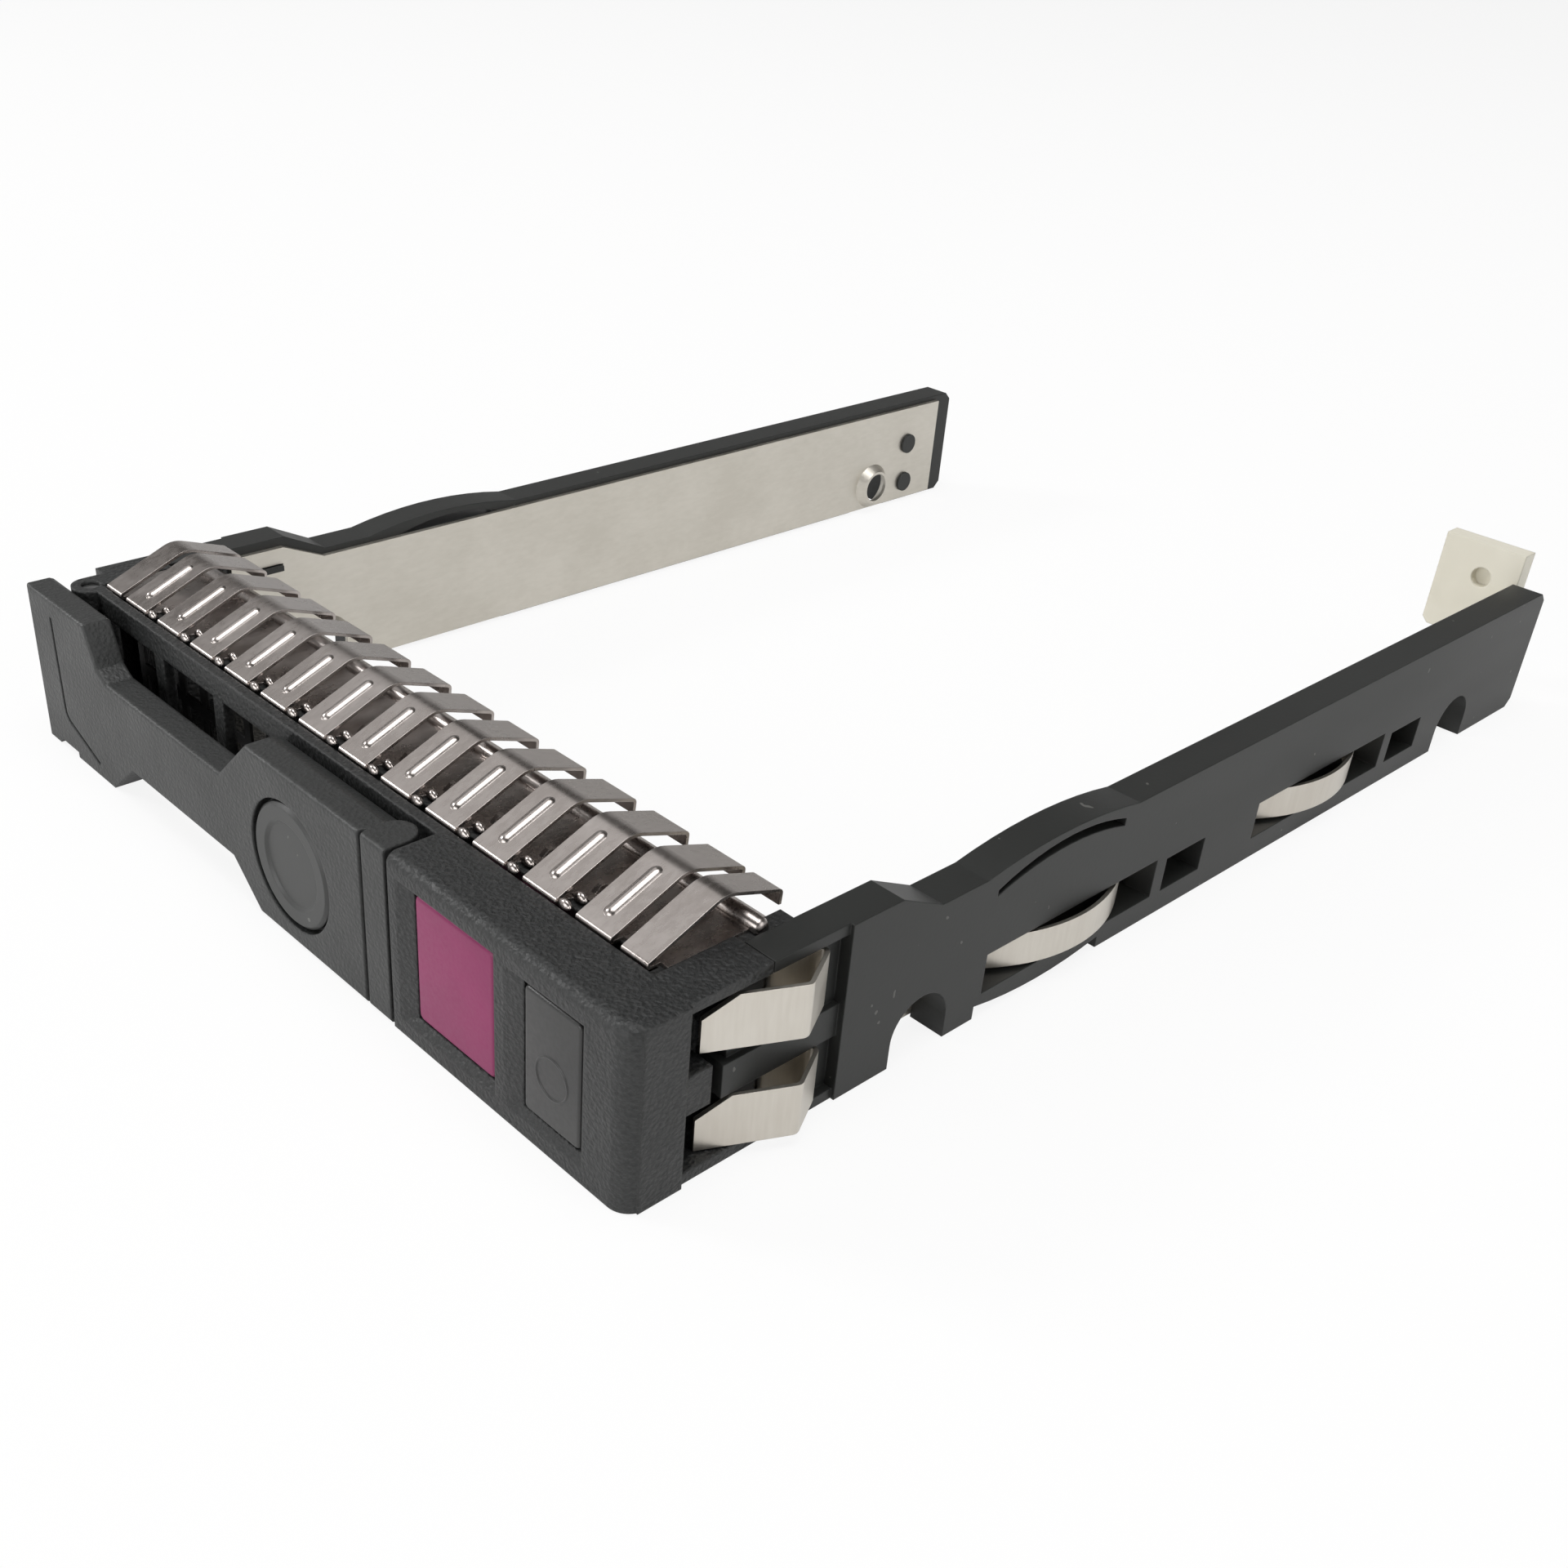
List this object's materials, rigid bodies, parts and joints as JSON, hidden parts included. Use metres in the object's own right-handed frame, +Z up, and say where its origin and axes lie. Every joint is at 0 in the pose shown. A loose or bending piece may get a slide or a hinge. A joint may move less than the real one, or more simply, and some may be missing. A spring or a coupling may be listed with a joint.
{
  "type": "hot swap drive caddy",
  "caption": "U-shaped hot swap tray that carries a small server drive, with a swinging ejector lever, a push release button, sprung contacts and a finger strip.",
  "frame": {"origin": "centre of the bounding box's underside, under the middle of the tray", "axes": "+X to the right of someone facing the bezel, +Y from the bezel to the rear ends of the rails, +Z up from the open underside to the finger strip"},
  "size_m": [0.0822, 0.1194, 0.0168],
  "materials": {
    "grained_black": "fine spark-eroded grain, dark grey-black",
    "rail_black": "fine matt, near black",
    "medallion_black": "fine matt, plain, no mark",
    "button_magenta": "semi-gloss magenta",
    "window_smoke": "smoked, satin",
    "ivory_diffuser": "milky ivory, light-spreading",
    "shield_steel": "thin stainless, fine rolled grain",
    "screen_steel": "thin perforated sheet",
    "pin_steel": "ground",
    "spring_wire": "drawn wire",
    "plate_steel": "satin, zinc-free sheet",
    "contact_nickel": "satin nickel-plated spring sheet"
  },
  "bodies": {
    "tray": {"bezel_frame": "grained_black", "status_window": "window_smoke", "light_pipe": "ivory_diffuser", "shield_strip": "shield_steel", "shield_screen": "screen_steel", "lever_pivot_pin": "pin_steel", "lever_spring": "spring_wire", "button_spring": "spring_wire", "right_rail": "rail_black", "left_rail": "rail_black", "right_side_plate": "plate_steel", "left_side_plate": "plate_steel", "right_upper_contact": "contact_nickel", "right_lower_contact": "contact_nickel", "right_front_bow": "contact_nickel", "right_rear_bow": "contact_nickel", "left_upper_contact": "contact_nickel", "left_lower_contact": "contact_nickel", "left_front_bow": "contact_nickel", "left_rear_bow": "contact_nickel"},
    "lever": {"ejector_lever": "grained_black", "lever_medallion": "medallion_black"},
    "button": {"release_button": "button_magenta"}
  },
  "joints": [
    {"name": "lever_swing", "type": "hinge", "parent": "tray", "child": "lever", "pos_m": [-0.03619, -0.05545, 0.0071], "axis": [0, 0, -1], "range_deg": [0, 50]},
    {"name": "button_press", "type": "slide", "parent": "tray", "child": "button", "axis": [0, 1, 0], "range_m": [0, 0.0015], "stiffness_N_per_m": 300, "deforming": ["button_spring"]}
  ]
}
